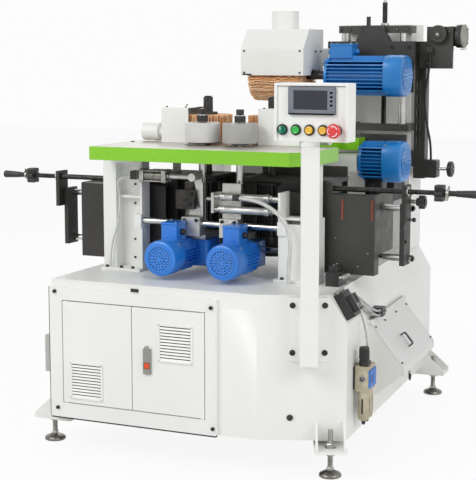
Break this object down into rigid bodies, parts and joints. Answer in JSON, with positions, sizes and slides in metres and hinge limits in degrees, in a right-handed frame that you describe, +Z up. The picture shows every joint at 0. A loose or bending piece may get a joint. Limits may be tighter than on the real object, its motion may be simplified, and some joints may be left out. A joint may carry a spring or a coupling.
{
  "type": "four-sided sander",
  "caption": "Through-feed brush sander on a steel cabinet: feed rollers, vertical side brushes, lifting top brush, bottom brush, swivelling control box and pneumatic feed arms.",
  "frame": {"origin": "on the floor under the middle of the machine, midway between the rod ends and between the front and back limits", "axes": "+X to the right seen from the infeed side, along the side-head guide bars; +Y the way the work travels, from front to back; +Z up"},
  "size_m": [1.57, 1.21, 1.36],
  "materials": {
    "white_paint": "smooth gloss powder coat",
    "lime_paint": "gloss paint",
    "blue_paint": "gloss paint over cast fins",
    "black_paint": "satin black",
    "steel": "ground and polished",
    "grey_rubber": "matte rubber tread",
    "flap_fibre": "slit abrasive cloth flaps",
    "silver_plastic": "moulded",
    "grey_plastic": "moulded",
    "black_plastic": "moulded",
    "red_plastic": "moulded",
    "green_plastic": "moulded",
    "yellow_plastic": "moulded",
    "cast_alloy": "cast with satin finish",
    "clear_hose": "flexible tube"
  },
  "bodies": {
    "base": {"base_walls": "white_paint", "deck_plate": "white_paint", "door_surround": "white_paint", "switch_panel": "white_paint", "levelling_feet": "steel", "left_upright": "white_paint", "right_upright": "white_paint", "rear_column": "white_paint", "table_top": "steel", "table_band": "lime_paint", "control_post": "white_paint", "guide_bars": "steel", "bar_brackets": "black_paint", "feed_cylinders": "steel", "gantry_frame": "black_paint", "air_regulator": "cast_alloy", "valve_block": "cast_alloy", "air_lines": "clear_hose", "motor_cable": "black_plastic"},
    "left_door": {"left_door": "white_paint"},
    "right_door": {"right_door": "white_paint"},
    "lock_lever": {"lock_lever": "grey_plastic"},
    "lock_button": {"lock_button": "red_plastic"},
    "chute_cover": {"chute_cover": "white_paint"},
    "control_box": {"control_box": "white_paint", "touch_screen": "silver_plastic"},
    "selector_knob": {"selector_knob": "green_plastic"},
    "start_button": {"start_button": "green_plastic"},
    "stop_button": {"stop_button": "yellow_plastic"},
    "reset_button": {"reset_button": "yellow_plastic"},
    "emergency_stop": {"emergency_stop": "red_plastic"},
    "regulator_knob": {"regulator_knob": "black_plastic"},
    "left_feed": {"left_feed_arm": "steel", "left_feed_motor": "blue_paint"},
    "right_feed": {"right_feed_arm": "steel", "right_feed_motor": "blue_paint"},
    "left_roller": {"left_roller": "grey_rubber", "left_roller_hub": "steel"},
    "right_roller": {"right_roller": "grey_rubber", "right_roller_hub": "steel"},
    "left_head": {"left_side_head": "black_paint", "left_side_motor": "blue_paint", "left_side_hood": "white_paint"},
    "right_head": {"right_side_head": "black_paint", "right_side_motor": "blue_paint", "right_side_hood": "white_paint"},
    "left_brush": {"left_side_brush": "flap_fibre"},
    "right_brush": {"right_side_brush": "flap_fibre"},
    "left_rod": {"left_hand_rod": "steel"},
    "right_rod": {"right_hand_rod": "steel"},
    "top_head": {"top_carriage": "black_paint", "top_motor": "blue_paint", "top_hood": "white_paint"},
    "top_brush": {"top_brush": "flap_fibre"},
    "lead_screw": {"lead_screw": "black_paint"},
    "lift_knob": {"lift_knob": "black_plastic"},
    "bottom_head": {"bottom_motor": "blue_paint", "bottom_housing": "white_paint"},
    "bottom_brush": {"bottom_brush": "flap_fibre"},
    "height_knob": {"height_knob": "black_plastic"}
  },
  "joints": [
    {"name": "left_door_hinge", "type": "hinge", "parent": "base", "child": "left_door", "pos_m": [-0.362, -0.5785, 0.297], "axis": [0, 0, -1], "range_deg": [0, 100]},
    {"name": "right_door_hinge", "type": "hinge", "parent": "base", "child": "right_door", "pos_m": [0.087, -0.5785, 0.297], "axis": [0, 0, 1], "range_deg": [0, 100]},
    {"name": "lock_lever_hinge", "type": "hinge", "parent": "right_door", "child": "lock_lever", "pos_m": [-0.086, -0.5888, 0.3355], "axis": [-1, 0, 0], "range_deg": [0, 35]},
    {"name": "lock_button_push", "type": "slide", "parent": "right_door", "child": "lock_button", "axis": [0, 1, 0], "range_m": [0, 0.0025], "stiffness_N_per_m": 400},
    {"name": "chute_cover_hinge", "type": "hinge", "parent": "base", "child": "chute_cover", "pos_m": [0.44587, 0.17064, 0.39616], "axis": [0.0705, -0.9975, 0], "range_deg": [0, 40]},
    {"name": "box_swivel", "type": "hinge", "parent": "base", "child": "control_box", "pos_m": [0.39622, -0.54291, 0.94], "axis": [0, 0, 1], "range_deg": [-45, 45]},
    {"name": "selector_turn", "type": "hinge", "parent": "control_box", "child": "selector_knob", "pos_m": [0.326, -0.573, 0.972], "axis": [0, -1, 0], "range_deg": [-45, 45]},
    {"name": "start_press", "type": "slide", "parent": "control_box", "child": "start_button", "axis": [0, 1, 0], "range_m": [0, 0.003], "stiffness_N_per_m": 400},
    {"name": "stop_press", "type": "slide", "parent": "control_box", "child": "stop_button", "axis": [0, 1, 0], "range_m": [0, 0.003], "stiffness_N_per_m": 400},
    {"name": "reset_press", "type": "slide", "parent": "control_box", "child": "reset_button", "axis": [0, 1, 0], "range_m": [0, 0.003], "stiffness_N_per_m": 400},
    {"name": "emergency_press", "type": "slide", "parent": "control_box", "child": "emergency_stop", "axis": [0, 1, 0], "range_m": [0, 0.004], "stiffness_N_per_m": 400},
    {"name": "regulator_turn", "type": "hinge", "parent": "base", "child": "regulator_knob", "pos_m": [0.50542, -0.39, 0.32], "axis": [0, 0, 1], "continuous": true},
    {"name": "left_feed_slide", "type": "slide", "parent": "base", "child": "left_feed", "axis": [1, 0, 0], "range_m": [-0.04, 0.006]},
    {"name": "right_feed_slide", "type": "slide", "parent": "base", "child": "right_feed", "axis": [1, 0, 0], "range_m": [-0.006, 0.018]},
    {"name": "left_roller_spin", "type": "hinge", "parent": "left_feed", "child": "left_roller", "pos_m": [-0.0625, -0.265, 0.938], "axis": [0, 0, 1], "continuous": true},
    {"name": "right_roller_spin", "type": "hinge", "parent": "right_feed", "child": "right_roller", "pos_m": [0.0625, -0.265, 0.938], "axis": [0, 0, 1], "continuous": true},
    {"name": "left_head_slide", "type": "slide", "parent": "base", "child": "left_head", "axis": [1, 0, 0], "range_m": [-0.06, 0.01]},
    {"name": "left_rod_turn", "type": "hinge", "parent": "left_head", "child": "left_rod", "pos_m": [-0.56, -0.254, 0.78406], "axis": [1, 0, 0], "range_deg": [-5400, 900]},
    {"name": "right_head_slide", "type": "slide", "parent": "base", "child": "right_head", "axis": [1, 0, 0], "range_m": [-0.01, 0.06]},
    {"name": "right_rod_turn", "type": "hinge", "parent": "right_head", "child": "right_rod", "pos_m": [0.56, -0.254, 0.78406], "axis": [1, 0, 0], "range_deg": [-900, 5400]},
    {"name": "left_brush_spin", "type": "hinge", "parent": "left_head", "child": "left_brush", "pos_m": [-0.11, -0.125, 0.945], "axis": [0, 0, 1], "continuous": true},
    {"name": "right_brush_spin", "type": "hinge", "parent": "right_head", "child": "right_brush", "pos_m": [0.11, -0.125, 0.945], "axis": [0, 0, 1], "continuous": true},
    {"name": "top_lift", "type": "slide", "parent": "base", "child": "top_head", "axis": [0, 0, 1], "range_m": [-0.08, 0.03]},
    {"name": "lead_screw_turn", "type": "hinge", "parent": "base", "child": "lead_screw", "pos_m": [0.31, 0.345, 1.1], "axis": [0, 0, 1], "range_deg": [-5760, 2160]},
    {"name": "lift_knob_turn", "type": "hinge", "parent": "base", "child": "lift_knob", "pos_m": [0.474, 0.405, 1.236], "axis": [0, -1, 0], "range_deg": [-5760, 2160]},
    {"name": "top_brush_spin", "type": "hinge", "parent": "top_head", "child": "top_brush", "pos_m": [0, 0.214, 1.103], "axis": [1, 0, 0], "continuous": true},
    {"name": "height_knob_turn", "type": "hinge", "parent": "base", "child": "height_knob", "pos_m": [0.5, 0.45, 0.79], "axis": [1, 0, 0], "range_deg": [-2160, 1440]},
    {"name": "bottom_lift", "type": "slide", "parent": "base", "child": "bottom_head", "axis": [0, 0, 1], "range_m": [-0.012, 0.008]},
    {"name": "bottom_brush_spin", "type": "hinge", "parent": "bottom_head", "child": "bottom_brush", "pos_m": [0, 0.214, 0.829], "axis": [1, 0, 0], "continuous": true}
  ],
  "couplings": [
    {"joint": "left_rod_turn", "follows": "left_head_slide", "rad_per_m": 1570.8},
    {"joint": "right_rod_turn", "follows": "right_head_slide", "rad_per_m": 1570.8},
    {"joint": "lead_screw_turn", "follows": "top_lift", "rad_per_m": 1256.6},
    {"joint": "lift_knob_turn", "follows": "top_lift", "rad_per_m": 1256.6},
    {"joint": "height_knob_turn", "follows": "bottom_lift", "rad_per_m": 3141.6}
  ]
}
